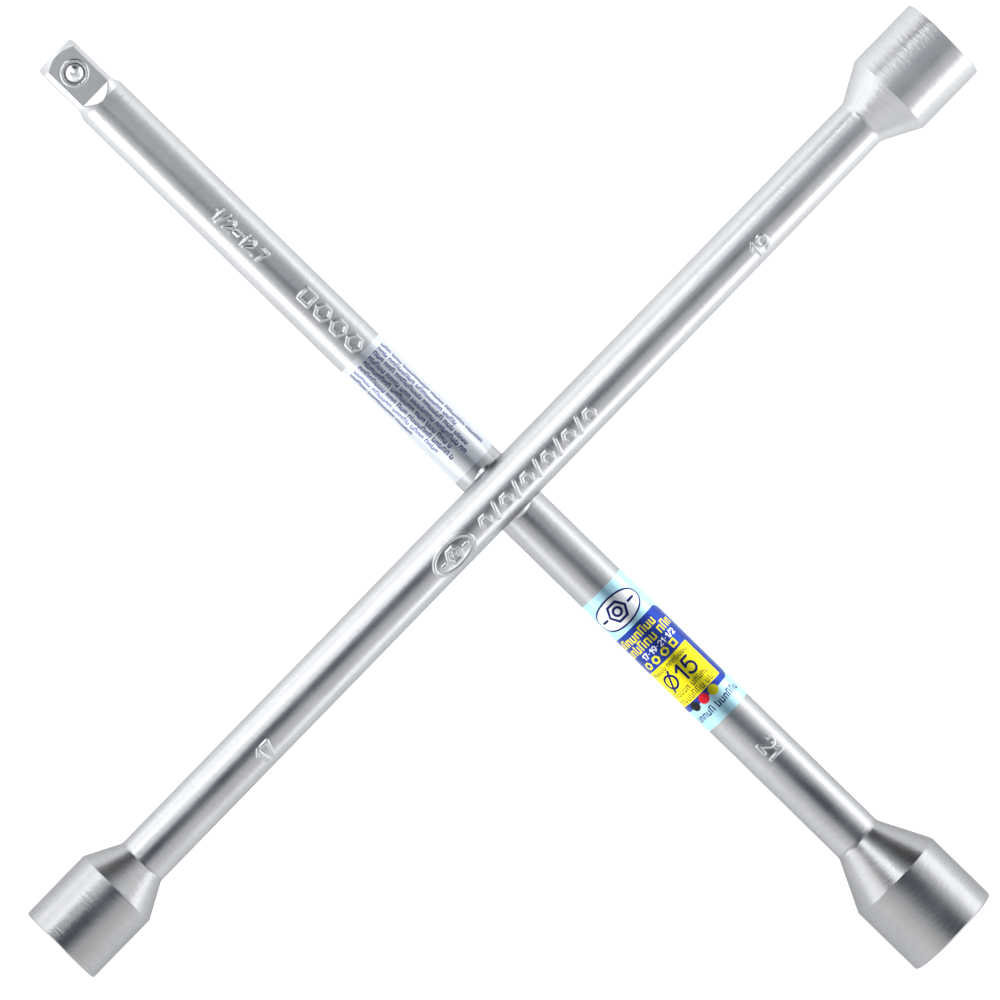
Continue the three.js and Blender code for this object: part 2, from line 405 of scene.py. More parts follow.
def forged_wave(along, angle):
    """Slow unevenness of a forged and ground surface."""
    waves = ((0.21, 2, 0.3), (0.13, 3, 1.7), (0.34, 1, 2.9), (0.47, 4, 4.4), (0.09, 5, 0.9))
    total = 0
    for per_mm, per_turn, phase in waves:
        total = total + np.sin(per_mm * along + phase) * np.cos(per_turn * angle + 2 * phase)
    return WAVE_HEIGHT * total


def bar_rings(bar, along, angle, radius):
    """Rings of points at each place along a bar, for a grid of radii."""
    return [bar.at(s, angle, row) for s, row in zip(along, radius)]


END_RINGS = (0.4, 0.8)
DRIVE_FACE_RINGS = (0.15, 0.5, 0.85)


def disc(bar, along, angle, radius, shares):
    """Rings that close a bar's flat end, each at a share of its radius."""
    return [bar.at(along, angle, radius * share) for share in shares]


MARK_DEGREES = 1.4
PLAIN_DEGREES = 3.2


def crest_angles(band, *extra):
    """Angles all round a bar, fine in a band between two distances round it from the crest."""
    low, high = band
    fine = math.degrees(low / BAR_RADIUS), math.degrees(high / BAR_RADIUS), MARK_DEGREES
    degrees = stations(-180, 180, PLAIN_DEGREES, fine, *extra)[:-1]
    return np.radians(degrees)


# The marks' bands round the bars, in millimetres from the crest, and the notches' in degrees
FRONT_BAND = (-6.6, 1.6)
REAR_BAND = (-3.2, 4.2)
FRONT_NOTCH = ((140, 180, 2.2), (-180, -140, 2.2))
REAR_NOTCH = (-40, 40, 2.2)

# Where marks, notches and the drive's edges need a finer mesh along a bar: from, to and step
PLAIN_STEP = 2.5
FRONT_FINE = ((-30.5, 34.5, 0.2), (-101.5, -92.5, 0.2), (93.5, 103.5, 0.2))
BORE_ALONG = -BALL_CENTRE[1]
REAR_FINE = (
    (-DRIVE_TIP, -153.0, 0.3), (-DRIVE_TIP, -169.9, 0.12), (-157.4, -153.8, 0.16),
    (BORE_ALONG - BORE_WINDOW, BORE_ALONG + BORE_WINDOW, 0.3),
    (-115.5, -84.5, 0.2), (-79.5, -54.5, 0.2),
    (-11.0, 11.0, 0.5), (-9.3, -7.3, 0.14), (7.3, 9.3, 0.14),
    (98.0, 107.5, 0.2),
)


def front_shank(material):
    ends = -joint_place("socket_17"), joint_place("socket_19")
    along = stations(*ends, PLAIN_STEP, *FRONT_FINE)
    angle = crest_angles(FRONT_BAND, *FRONT_NOTCH)
    s, a = np.meshgrid(along, angle, indexing="ij")
    radius = BAR_RADIUS + forged_wave(s, a) + relief(front_marks(), s, BAR_RADIUS * a)
    radius = notched(radius, s, math.pi - np.abs(a))
    rings = disc(FRONT, along[0], angle, radius[0], END_RINGS)
    rings += bar_rings(FRONT, along, angle, radius)
    rings += disc(FRONT, along[-1], angle, radius[-1], END_RINGS[::-1])
    points, faces = loft(rings)
    return piece(
        "front_shank_forged", points, faces, material, WRENCH, "satin_chrome", "front_shank",
    )


def drive_radius(along, angle, radius):
    """The bar's radius where its end is pressed to a square with ramps and a chamfered tip."""
    from_tip = along + DRIVE_TIP
    swell = np.clip((DRIVE_LENGTH + DRIVE_RAMP - from_tip) / DRIVE_RAMP, 0, 1)
    radius = radius + (DRIVE_CORNER - BAR_RADIUS) * swell
    ramp = np.maximum(from_tip - DRIVE_LENGTH, 0) * (BAR_RADIUS - DRIVE_FLAT) / DRIVE_RAMP
    to_flat = np.abs((angle + math.pi / 4) % (math.pi / 2) - math.pi / 4)
    flat = (DRIVE_FLAT + ramp) / np.cos(to_flat)
    tip = DRIVE_TIP_RADIUS + from_tip
    cut = soft_min(soft_min(radius, flat, EDGE_ROUND), tip, EDGE_ROUND)
    return np.where(from_tip < DRIVE_LENGTH + 2 * DRIVE_RAMP, cut, radius)


def bore_rings(loop):
    """Rings from a window in the drive's flat down the detent bore, at the loop's own angles. The
    bore's lip is staked inwards over the ball at a few places. Each ring has its radius, its height
    over the flat, and how much a stake adds to each."""
    centre = np.array([BALL_CENTRE[0], BALL_CENTRE[1], REAR_Z + DRIVE_FLAT])
    turn = np.arctan2(loop[:, 1] - centre[1], loop[:, 0] - centre[0])
    stake = np.maximum(np.cos(4 * turn + 0.5), 0) ** 6
    stake = stake + 0.5 * np.maximum(np.cos(7 * turn + 2.0), 0) ** 8
    outline = [
        (4.05, 0.0, 0.08, 0.0),
        (3.95, 0.08, 0.08, 0.02),
        (3.75, 0.3, 0.05, -0.08),
        (3.5, 0.38, 0.02, -0.12),
        (3.25, 0.32, -0.04, -0.1),
        (2.95, 0.12, -0.04, -0.06),
        (2.8, -0.05, 0.0, 0.0),
        (2.9, -0.3, 0.0, 0.0),
        (3.06, -0.6, 0.0, 0.0),
        (BORE_RADIUS, -0.9, 0.0, 0.0),
        (BORE_RADIUS, -BORE_DEPTH, 0.0, 0.0),
        (2.4, -BORE_DEPTH, 0.0, 0.0),
        (0.8, -BORE_DEPTH - DRILL_POINT_SLOPE * 1.6, 0.0, 0.0),
    ]
    rings = []
    for radius, height, radius_stake, height_stake in outline:
        reach = radius + radius_stake * stake
        level = centre[2] + height + height_stake * stake
        x = centre[0] + reach * np.cos(turn)
        y = centre[1] + reach * np.sin(turn)
        rings.append(np.stack([x, y, level], 1))
    return rings


def rear_shank(material):
    window = np.degrees(math.atan2(BORE_WINDOW, DRIVE_FLAT))
    edge = math.degrees(math.acos(DRIVE_FLAT / DRIVE_CORNER))
    edges = [quarter * 90 + side * edge for quarter in range(-2, 3) for side in (-1, 1)]
    corners = [(degrees - 2.4, degrees + 2.4, 0.6) for degrees in edges]
    angle = crest_angles(REAR_BAND, *corners, (-window, window, 2.0), REAR_NOTCH)
    along = stations(-DRIVE_TIP, joint_place("socket_21"), PLAIN_STEP, *REAR_FINE)
    s, a = np.meshgrid(along, angle, indexing="ij")
    radius = BAR_RADIUS + forged_wave(s, a) + relief(rear_marks(), s, BAR_RADIUS * a)
    radius += relief(written(*DRIVE_SIZE), s, BAR_RADIUS * a, FINE_WIDTH)
    radius = notched(drive_radius(s, a, radius), s, a)

    face = disc(REAR, along[0], angle, radius[0], DRIVE_FACE_RINGS)
    rings = face + bar_rings(REAR, along, angle, radius)
    rings += disc(REAR, along[-1], angle, radius[-1], END_RINGS[::-1])
    points, faces = loft(rings)

    # A window in the top flat is opened, and the bore's rings are hung from its edge.
    count = len(angle)
    ends = (BORE_ALONG - BORE_WINDOW, BORE_ALONG + BORE_WINDOW)
    i0, i1 = (len(face) + int(np.argmin(np.abs(along - end))) for end in ends)
    j0, j1 = (int(np.argmin(np.abs(angle - math.radians(side * window)))) for side in (-1, 1))
    kept = []
    for k, corners_of_face in enumerate(faces):
        i, j = divmod(k, count)
        if not (i0 <= i < i1 and j0 <= j < j1):
            kept.append(corners_of_face)
    loop = [(i, j0) for i in range(i0, i1)] + [(i1, j) for j in range(j0, j1)]
    loop += [(i, j1) for i in range(i1, i0, -1)] + [(i0, j) for j in range(j1, j0, -1)]
    outer = [i * count + j for i, j in loop]
    hung = bore_rings(points[outer])
    before = outer
    for ring in hung:
        start = len(points)
        points = np.concatenate([points, ring])
        after = list(range(start, start + len(ring)))
        for k in range(len(after)):
            m = (k + 1) % len(after)
            kept.append((before[k], before[m], after[m], after[k]))
        before = after
    floor = len(points)
    points = np.concatenate([points, hung[-1].mean(0)[None] - [[0, 0, BORE_POINT]]])
    kept += [(before[k], before[(k + 1) % len(before)], floor) for k in range(len(before))]
    return piece("rear_shank_forged", points, kept, material, WRENCH, "satin_chrome", "rear_shank")


# ---------------------------------------------------------------- sockets
def hex_radius(angle, flats):
    """Inside of a hexagon hole with slightly rounded corners, whose flats face up and down."""
    to_flat = np.abs((angle + math.pi / 6) % (math.pi / 3) - math.pi / 6)
    corner = flats / math.sqrt(3)
    cut = np.full_like(angle, corner - HEX_CORNER_CUT)
    return soft_min((flats / 2) / np.cos(to_flat), cut, HEX_CORNER_BLEND)


def socket(name, material):
    size = SOCKETS[name]
    bar = HEAD_BARS[name]
    angle = np.linspace(-math.pi, math.pi, AROUND_SOCKET, endpoint=False)
    outline = [(joint_place(name), BAR_RADIUS)] + head_outline(name)
    smooth = rounded(outline, (size["neck_round"], size["shoulder_round"], RIM_ROUND), steps=10)
    rings = disc(bar, smooth[0][0], angle, np.full_like(angle, BAR_RADIUS), END_RINGS)
    for k, (along, radius) in enumerate(smooth):
        rings.append(bar.at(along, angle, np.full_like(angle, radius)))
        if k + 1 < len(smooth):
            length = math.dist(smooth[k], smooth[k + 1])
            for share in stations(0, 1, 2.0 / max(length, 2.0))[1:-1]:
                between = smooth[k] + (smooth[k + 1] - smooth[k]) * share
                rings.append(bar.at(between[0], angle, np.full_like(angle, between[1])))

    flats = hex_radius(angle, size["flats"])
    mouth_radius = size["flats"] / math.sqrt(3) + LEAD_IN
    mouth, rim_radius = outline[-1]
    for share in (0.93, 0.5, 0.07):
        radius = mouth_radius + (rim_radius - mouth_radius) * share
        rings.append(bar.at(mouth, angle, np.full_like(angle, radius)))
    depth_of_lead = mouth_radius - size["flats"] / 2 + 0.1
    depths = [*np.linspace(0, depth_of_lead, 12), size["hex_depth"] / 2, size["hex_depth"]]
    for depth in depths:
        lead = np.full_like(angle, mouth_radius - depth)
        radius = -soft_min(-flats, -lead, LEAD_IN_EDGE)
        rings.append(bar.at(mouth - depth, angle, radius))
    relief_radius = (size["flats"] - RELIEF_PLAY) / 2
    bottom = mouth - size["hex_depth"]
    floor = bottom - RELIEF_DEPTH
    for along, radius in (
        (bottom, relief_radius + 0.1),
        (bottom - 0.15, relief_radius),
        (floor, relief_radius),
        (floor - DRILL_POINT_SLOPE * relief_radius / 2, relief_radius / 2),
        (floor - DRILL_POINT_SLOPE * relief_radius * 0.95, relief_radius * 0.05),
    ):
        rings.append(bar.at(along, angle, np.full_like(angle, radius)))
    points, faces = loft(rings)
    turned = name + "_turned"
    return piece(turned, points, faces, material, WRENCH, "turned_chrome", name, crease=24)


# ---------------------------------------------------------------- detent
def detent_ball(material):
    tilt = np.linspace(0.02, math.pi - 0.02, 64)
    turn = np.linspace(0, 2 * math.pi, 96, endpoint=False)
    rings = []
    for t in tilt:
        across = np.cos(turn) * math.sin(t), np.sin(turn) * math.sin(t)
        ring = np.stack([*across, np.full_like(turn, math.cos(t))], 1)
        rings.append(BALL_CENTRE + BALL_RADIUS * ring)
    points, faces = loft(rings)
    faces = [tuple(reversed(f)) for f in faces]
    return piece(
        "detent_ball_polished", points, faces, material, BALL, "polished_ball", "detent_ball",
    )


def detent_spring(material):
    low = SPRING_LOW[2] + SPRING_WIRE
    high = SPRING_HIGH[2] - SPRING_WIRE
    reach = (SPRING_HIGH[0] - SPRING_LOW[0]) / 2 - SPRING_WIRE
    section = np.linspace(0, 2 * math.pi, 12, endpoint=False)
    steps = int(SPRING_TURNS * 36)
    rings = []
    for k in range(steps + 1):
        share = k / steps
        turn = 2 * math.pi * SPRING_TURNS * share
        # The end turns lie flat, as on a ground compression spring.
        rise = (float(smooth_step(0.0, 1.0, share)) + share) / 2
        height = low + (high - low) * rise
        out = np.array([math.cos(turn), math.sin(turn), 0.0])
        centre = np.array([BALL_CENTRE[0], BALL_CENTRE[1], height]) + reach * out
        round_wire = np.outer(np.cos(section), out) + np.outer(np.sin(section), UP)
        rings.append(centre + SPRING_WIRE * round_wire)
    points, faces = loft(rings)
    made = piece(
        "detent_spring_wire", points, faces, material, WRENCH, "spring_steel", "detent_spring",
    )
    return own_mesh(made)


# ---------------------------------------------------------------- labels
def box_distance(x, y, box):
    """Signed distance to a box with rounded corners, negative inside."""
    corner = box["corner"]
    dx = np.abs(x - (box["left"] + box["right"]) / 2) - (box["right"] - box["left"]) / 2 + corner
    dy = np.abs(y - (box["from"] + box["to"]) / 2) - (box["to"] - box["from"]) / 2 + corner
    outside = np.hypot(np.maximum(dx, 0), np.maximum(dy, 0))
    return outside + np.minimum(np.maximum(dx, dy), 0) - corner


def ellipse_distance(x, y, cx, cy, rx, ry):
    """Nearly the signed distance to an ellipse, negative inside."""
    u, v = (x - cx) / rx, (y - cy) / ry
    size = np.hypot(u, v)
    slope = np.hypot(u / rx, v / ry)
    return np.where(slope > 1e-9, size * (size - 1) / np.maximum(slope, 1e-9), -min(rx, ry))


def film(name, along, angle, inks, material, slot, node):
    """A thin closed sleeve round part of the rear bar, which carries each ink's distance field.
    inks maps an attribute's name to its distances on the along by angle grid."""
    inside = BAR_RADIUS + FILM_GAP
    outside = inside + FILM
    rows, columns = len(along), len(angle)
    outer = np.concatenate([REAR.at(s, angle, outside) for s in along])
    inner = np.concatenate([REAR.at(s, angle, inside) for s in along])
    points = np.concatenate([outer, inner])
    size = rows * columns
    faces = []
    for i in range(rows - 1):
        for j in range(columns - 1):
            a, b = i * columns + j, (i + 1) * columns + j
            faces.append((a, b, b + 1, a + 1))
            faces.append((size + a, size + a + 1, size + b + 1, size + b))
    for i in range(rows - 1):
        a, b = i * columns, (i + 1) * columns
        faces.append((a, size + a, size + b, b))
        a, b = a + columns - 1, b + columns - 1
        faces.append((a, b, size + b, size + a))
    for j in range(columns - 1):
        faces.append((j, j + 1, size + j + 1, size + j))
        a = (rows - 1) * columns + j
        faces.append((a, size + a, size + a + 1, a + 1))
    made = piece(name, points, faces, material, WRENCH, slot, node)
    for ink, distances in inks.items():
        # The film's inside is far from every ink, so it stays bare.
        values = np.concatenate([distances.ravel(), np.full(size, 9.0)]).astype(np.float32)
        made.data.attributes.new(ink, "FLOAT", "POINT").data.foreach_set("value", values)
    return made


def label_span(node):
    """Where a label starts and ends along the rear bar."""
    low, high = millimetres(node)
    return -high[1], -low[1]


# The size label's layout. Down is from its end near the crossing, and across is from the crest
# towards +X. The badge has its centre and radii, and a row of print its start, end, level and size.
BADGE_AT = (-1.7, 7.4, 8.5, 4.7)
PANEL = {"from": 13.3, "to": 41.7, "left": -15.0, "right": 9.9, "corner": 3.0}
PLATE = {"from": 26.4, "to": 39.7, "left": -12.5, "right": 6.7, "corner": 0.0}
DOTS = {"at": 41.45, "radius": 1.55, "across": {"black": -5.8, "red": -2.15, "olive": 1.4}}
HEADING_ROWS = ((-10.5, 6.3, -15.7, 2.3), (-10.5, 8.9, -18.9, 2.5))
SMALL_ROWS = ((-10.0, 5.6, -27.7, 1.35), (-10.0, 5.2, -35.9, 1.6), (-10.0, 5.6, -38.3, 1.7))
FOOT_ROWS = ((-9.3, 8.4, -45.0, 1.9),)
SIGN_PLACES = {"level": -24.5, "square": 3.0, "hexagons": (-7.4, -3.9, -0.4)}

# The info label's rows of small print, and how far each stays from the label's far end
INFO_TOP, INFO_PITCH, INFO_SIZE, INFO_START = 6.6, 1.95, 1.2, 2.5
INFO_MARGINS = (3.0, 11.0, 5.0, 4.0, 8.0, 5.0, 9.0, 17.0)


def blocks(draw, start, end, level, size, pitch=0.82):
    """Plain pairs of uprights in word-like groups along a row, which stand in for print."""
    strokes, at, width = [], start, 0.55 * pitch * size
    while at + width < end:
        for _ in range(int(draw.integers(3, 9))):
            if at + width < end:
                bottom, middle = level - size / 2, level + 0.22 * size
                top = level + size / 2 if draw.random() < 0.35 else middle
                tie = top if draw.random() < 0.5 else bottom
                strokes.append([(at, bottom), (at, top)])
                strokes.append([(at, tie), (at + width, tie)])
                strokes.append([(at + width, bottom), (at + width, middle)])
            at += pitch * size
        at += 0.4 * size
    return strokes


def block_rows(draw, rows):
    """The strokes of several rows of blocks, each with its start, end, level and size."""
    return [stroke for row in rows for stroke in blocks(draw, *row)]


def size_label(material):
    start, end = label_span("size_label")
    along = stations(start, end, 0.18)
    angle = stations(-WRAP, WRAP, 0.06, (-1.75, 1.6, 0.024))
    s, a = np.meshgrid(along, angle, indexing="ij")
    down, across = s - start, BAR_RADIUS * a
    draw = np.random.default_rng(7)

    def text(strokes, width):
        """Strokes are given with their tops towards the crossing."""
        return distance_to(strokes, across, -down) - width / 2

    cx, cy, rx, ry = BADGE_AT
    badge = ellipse_distance(across, down, cx, cy, rx, ry)
    nut = hexagon((cx, -cy), 2.9) + ellipse((cx, -cy), 1.2, 1.2)
    sides = [[(cx + side * 4.2, -cy), (cx + side * 6.2, -cy)] for side in (-1, 1)]
    plate = box_distance(across, down, PLATE)
    heading = block_rows(draw, HEADING_ROWS)
    signs = square((SIGN_PLACES["square"], SIGN_PLACES["level"]), 0.85)
    for x in SIGN_PLACES["hexagons"]:
        signs += hexagon((x, SIGN_PLACES["level"]), 1.05)
    small = block_rows(draw, SMALL_ROWS)
    foot = block_rows(draw, FOOT_ROWS)
    inks = {
        "ink_panel": box_distance(across, down, PANEL),
        "ink_yellow": np.minimum.reduce([plate, text(heading, 0.44), text(signs, 0.55)]),
        "ink_white": text(written("17-19-21-1/2", 1.6, (-0.2, -22.0)), 0.34),
        "ink_badge": badge,
        "ink_navy": np.minimum.reduce([
            np.abs(badge + 0.28) - 0.28,
            text(nut + sides, 0.75),
            text(written("o15", 4.8, (-2.2, -31.9)), 0.75),
            text(foot, 0.36),
        ]),
        "ink_dark": text(small, 0.26),
    }
    for colour, middle in DOTS["across"].items():
        inks["ink_" + colour] = np.hypot(across - middle, down - DOTS["at"]) - DOTS["radius"]
    return film("size_label_print", along, angle, inks, material, "printed_label", "size_label")


def info_label(material):
    start, end = label_span("info_label")
    along = stations(start, end, 0.16)
    angle = stations(-WRAP, WRAP, 0.08, (-1.5, 1.5, 0.026))
    s, a = np.meshgrid(along, angle, indexing="ij")
    draw = np.random.default_rng(11)
    strokes = []
    for row, margin in enumerate(INFO_MARGINS):
        level = INFO_TOP - row * INFO_PITCH
        strokes += blocks(draw, start + INFO_START, end - margin, level, INFO_SIZE, pitch=1.05)
    inks = {"ink_navy": distance_to(strokes, s, BAR_RADIUS * a) - 0.17}
    return film("info_label_print", along, angle, inks, material, "clear_label", "info_label")


# ---------------------------------------------------------------- materials
class Shader:
    """A material's node tree, with short ways to add and join nodes."""

    def __init__(self, name):
        self.material = bpy.data.materials.new(name)
        self.material.use_nodes = True
        self.nodes = self.material.node_tree.nodes
        self.surface = self.nodes["Principled BSDF"]

    def add(self, kind, **settings):
        node = self.nodes.new("ShaderNode" + kind)
        for key, value in settings.items():
            setattr(node, key, value)
        return node

    def join(self, output, socket):
        self.material.node_tree.links.new(output, socket)

    def set(self, node, **values):
        for key, value in values.items():
            node.inputs[key.replace("_", " ")].default_value = value

    def places(self, scale):
        """The object's own coordinates in metres, scaled along each axis."""
        mapping = self.add("Mapping")
        self.join(self.add("TexCoord").outputs["Object"], mapping.inputs["Vector"])
        mapping.inputs["Scale"].default_value = scale
        return mapping.outputs["Vector"]

    def noise(self, scale, detail=2.0, roughness=0.5):
        texture = self.add("TexNoise")
        self.join(self.places(scale), texture.inputs["Vector"])
        self.set(texture, Scale=1.0, Detail=detail, Roughness=roughness)
        return texture.outputs["Fac"]

    def ranged(self, value, low, high, from_low=0.0, from_high=1.0):
        node = self.add("MapRange")
        self.join(value, node.inputs["Value"])
        node.inputs["From Min"].default_value = from_low
        node.inputs["From Max"].default_value = from_high
        node.inputs["To Min"].default_value = low
        node.inputs["To Max"].default_value = high
        return node.outputs["Result"]

    def mixed(self, factor, first, second):
        """A mix of two colours, each an RGB tuple or a socket."""
        node = self.add("Mix", data_type="RGBA")
        self.join(factor, node.inputs["Factor"])
        for socket, colour in ((node.inputs[6], first), (node.inputs[7], second)):
            if isinstance(colour, tuple):
                socket.default_value = (*colour, 1)
            else:
                self.join(colour, socket)
        return node.outputs[2]

    def bumps(self, *layers):
        """Adds (height, distance in metres) layers of bump, one over another."""
        normal = None
        for height, distance in layers:
            node = self.add("Bump")
            self.join(height, node.inputs["Height"])
            node.inputs["Distance"].default_value = distance
            if normal:
                self.join(normal, node.inputs["Normal"])
            normal = node.outputs["Normal"]
        self.join(normal, self.surface.inputs["Normal"])


def along_axis(axis, fine, coarse):
    """A noise scale that is fine along one axis and coarse across it."""
    return tuple(fine if k == axis else coarse for k in range(3))


# One chrome, and a darker copy of it for sockets 17 and 21 whose darkness is painted shade. The edge
# tint dims grazing reflections.
CHROME = (0.445, 0.453, 0.465)
SHADED_CHROME = (0.37, 0.376, 0.385)
EDGE_TINT = (0.6, 0.6, 0.6, 1)

# How fine the steel's noises are, along its axis and across it, and the usual range of a noise
RINGS = (1500, 300)
STREAKS = (900, 90)
GRAIN = 1400
CLOUD = 70
USUAL = (0.3, 0.7)


def steel(name, axis, colour, rough, streak, ring_bump, grain_bump):
    """Plated steel with fine marks round an axis, an even grain, and small changes of gloss."""
    shader = Shader(name)
    rings = shader.noise(along_axis(axis, *RINGS), detail=0.6)
    streaks = shader.noise(along_axis(axis, *STREAKS))
    grain = shader.noise((GRAIN, GRAIN, GRAIN), detail=0.6)
    cloud = shader.noise((CLOUD, CLOUD, CLOUD))
    darker = tuple(0.84 * c for c in colour)
    brushed = shader.add("Math", operation="MULTIPLY_ADD")
    shader.join(rings, brushed.inputs[0])
    brushed.inputs[1].default_value = 0.7
    shader.join(shader.ranged(cloud, -0.15, 0.3, *USUAL), brushed.inputs[2])
    tone = shader.mixed(brushed.outputs[0], darker, colour)
    shader.join(tone, shader.surface.inputs["Base Color"])
    gloss = shader.add("Math", operation="ADD")
    shader.join(shader.ranged(streaks, -streak, streak, *USUAL), gloss.inputs[0])
    shader.join(shader.ranged(cloud, rough - 0.03, rough + 0.04, *USUAL), gloss.inputs[1])
    shader.join(gloss.outputs[0], shader.surface.inputs["Roughness"])
    shader.set(shader.surface, Metallic=1.0)
    shader.surface.inputs["Specular Tint"].default_value = EDGE_TINT
    shader.bumps((rings, ring_bump), (grain, grain_bump))
    return shader.material


# The inks in the order in which they are laid on
INK_COLOURS = {
    "ink_panel": (0.02, 0.05, 0.32),
    "ink_yellow": (0.98, 0.86, 0.02),
    "ink_white": (0.9, 0.92, 0.96),
    "ink_badge": (0.8, 0.81, 0.84),
    "ink_navy": (0.01, 0.016, 0.13),
    "ink_dark": (0.05, 0.05, 0.03),
    "ink_black": (0.02, 0.02, 0.02),
    "ink_red": (0.75, 0.02, 0.04),
    "ink_olive": (0.55, 0.5, 0.01),
}


def printed(name, ground, inks, metallic, rough, edge=0.05):
    """A glossy film with inks laid one over another, each where its distance field is negative."""
    shader = Shader(name)
    colour = ground
    for ink in inks:
        field = shader.add("Attribute", attribute_name=ink)
        inside = shader.ranged(field.outputs["Fac"], 1.0, 0.0, -edge, edge)
        colour = shader.mixed(inside, colour, INK_COLOURS[ink])
    cloud = shader.noise((300, 300, 300))
    shade = shader.add("HueSaturation")
    shader.join(colour, shade.inputs["Color"])
    shader.join(shader.ranged(cloud, 0.95, 1.04), shade.inputs["Value"])
    shader.join(shade.outputs["Color"], shader.surface.inputs["Base Color"])
    shader.join(shader.ranged(cloud, rough - 0.04, rough + 0.05), shader.surface.inputs["Roughness"])
    shader.set(shader.surface, Metallic=metallic)
    shader.bumps((shader.noise((160, 160, 160)), 0.00002))
    return shader.material


def plain_metal(name, colour, rough, bump, scale):
    """Metal with one noise for its tone, gloss and bumps."""
    shader = Shader(name)
    noise = shader.noise((scale, scale, scale), detail=4.0)
    darker = tuple(0.7 * c for c in colour)
    shader.join(shader.mixed(noise, darker, colour), shader.surface.inputs["Base Color"])
    shader.join(shader.ranged(noise, rough * 0.7, rough * 1.3), shader.surface.inputs["Roughness"])
    shader.set(shader.surface, Metallic=1.0)
    shader.bumps((noise, bump))
    return shader.material


X_AXIS, Y_AXIS = 0, 1
# Roughness, how much it changes in streaks, and the bumps of the rings and of the grain in metres
FORGED = (0.31, 0.008, 0.00001, 0.000025)
TURNED = (0.31, 0.012, 0.000035, 0.00002)

front_steel = steel("satin_chrome_front", X_AXIS, CHROME, *FORGED)
rear_steel = steel("satin_chrome_rear", Y_AXIS, CHROME, *FORGED)
# Sockets 17 and 21 take the darker chrome: painted shade, as the same plating is on all three sockets
steel_17 = steel("turned_chrome_17", X_AXIS, SHADED_CHROME, *TURNED)
steel_19 = steel("turned_chrome_19", X_AXIS, CHROME, *TURNED)
steel_21 = steel("turned_chrome_21", Y_AXIS, SHADED_CHROME, *TURNED)
ball_steel = plain_metal("polished_ball", (0.72, 0.73, 0.75), 0.26, 0.000004, 900)
spring_steel = plain_metal("spring_wire", (0.34, 0.35, 0.36), 0.32, 0.00001, 1500)
weld_steel = plain_metal("weld_metal", (0.3, 0.29, 0.28), 0.6, 0.0001, 800)
label_film = printed("printed_film", (0.43, 0.72, 0.83), list(INK_COLOURS), 0.9, 0.3)
info_film = printed("pale_film", (0.515, 0.545, 0.58), ["ink_navy"], 0.95, 0.3)

front_shank(front_steel)
rear_shank(rear_steel)
socket("socket_17", steel_17)
socket("socket_19", steel_19)
socket("socket_21", steel_21)
detent_ball(ball_steel)
detent_spring(spring_steel)
size_label(label_film)
info_label(info_film)
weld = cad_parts["centre_weld"]
weld.data.materials.clear()
weld.data.materials.append(weld_steel)

# ---------------------------------------------------------------- floor, light and camera
# The picture's right and up directions on the floor, from how far the front bar leans in it
LEAN = math.radians(45.72)
PICTURE_RIGHT = Vector((math.cos(LEAN), -math.sin(LEAN), 0))
PICTURE_UP = Vector((math.sin(LEAN), math.cos(LEAN), 0))

# The dark hood over the table: how far it leans towards the picture's top, and the angles from its
# middle where its soft edge starts and ends, in degrees
HOOD_LEAN = 20
HOOD_EDGE = (22, 49)
HOOD_TINT = (0.0, 0.03, 0.075, 1)

# The room's light: its slope to the right and up, how much its corners add, and its level and least
ROOM_SLOPE = (0.42, -0.93)
ROOM_CORNERS = 0.84
ROOM_LEVEL = 0.6
ROOM_LEAST = 0.02

FLOOR_HALF = 4.0
FLOOR_LEVEL = -0.0002
FLOOR_GLOW = {"from": -0.1, "to": 0.05, "near": 0.45, "far": 0.8}

# The camera's place and target to the right of the crossing and up from it, in metres
CAMERA_AT = (-0.160, 0.021)
CAMERA_TARGET = (-0.00055, -0.0025)
CAMERA_HEIGHT = 2.8
VIEW_WIDTH = 0.2766
SENSOR = 36


def place(right, up, height):
    """A place or a direction in metres, given in the picture's directions."""
    return PICTURE_RIGHT * right + PICTURE_UP * up + Vector((0, 0, height))


def softbox(name, centre, facing, width, height, radiance):
    """A rectangular light with a level lower edge, as bright as asked whatever its size."""
    light = bpy.data.lights.new(name, "AREA")
    light.shape = "RECTANGLE"
    light.size, light.size_y = width, height
    light.energy = radiance * math.pi * width * height
    lamp = bpy.data.objects.new(name, light)
    bpy.context.scene.collection.objects.link(lamp)
    back = -Vector(facing).normalized()
    level = Vector((-back.y, back.x, 0)) if abs(back.z) < 0.99 else PICTURE_RIGHT
    level = level.normalized()
    upward = back.cross(level)
    lamp.matrix_world = Matrix((
        (level.x, upward.x, back.x, centre.x),
        (level.y, upward.y, back.y, centre.y),
        (level.z, upward.z, back.z, centre.z),
        (0, 0, 0, 1),
    ))


def studio_floor():
    """A pale backlit table, which glows a little more towards its far side."""
    mesh = bpy.data.meshes.new("studio_floor")
    turns = ((-1, -1), (1, -1), (1, 1), (-1, 1))
    corners = [(x * FLOOR_HALF, y * FLOOR_HALF, FLOOR_LEVEL) for x, y in turns]
    mesh.from_pydata(corners, [], [(0, 1, 2, 3)])
    shader = Shader("pale_table")
    cloud = shader.noise((3, 3, 3))
    tone = shader.mixed(cloud, (0.88, 0.88, 0.88), (0.9, 0.9, 0.9))
    shader.join(tone, shader.surface.inputs["Base Color"])
    shader.set(shader.surface, Roughness=0.9)
    toward = shader.add("VectorMath", operation="DOT_PRODUCT")
    shader.join(shader.places((1, 1, 1)), toward.inputs[0])
    toward.inputs[1].default_value = PICTURE_UP
    near, far = FLOOR_GLOW["near"], FLOOR_GLOW["far"]
    glow = shader.ranged(toward.outputs["Value"], near, far, FLOOR_GLOW["from"], FLOOR_GLOW["to"])
    shader.join(glow, shader.surface.inputs["Emission Strength"])
    shader.surface.inputs["Emission Color"].default_value = (1, 1, 1, 1)
    mesh.materials.append(shader.material)
    floor = bpy.data.objects.new("studio_floor", mesh)
    bpy.context.scene.collection.objects.link(floor)


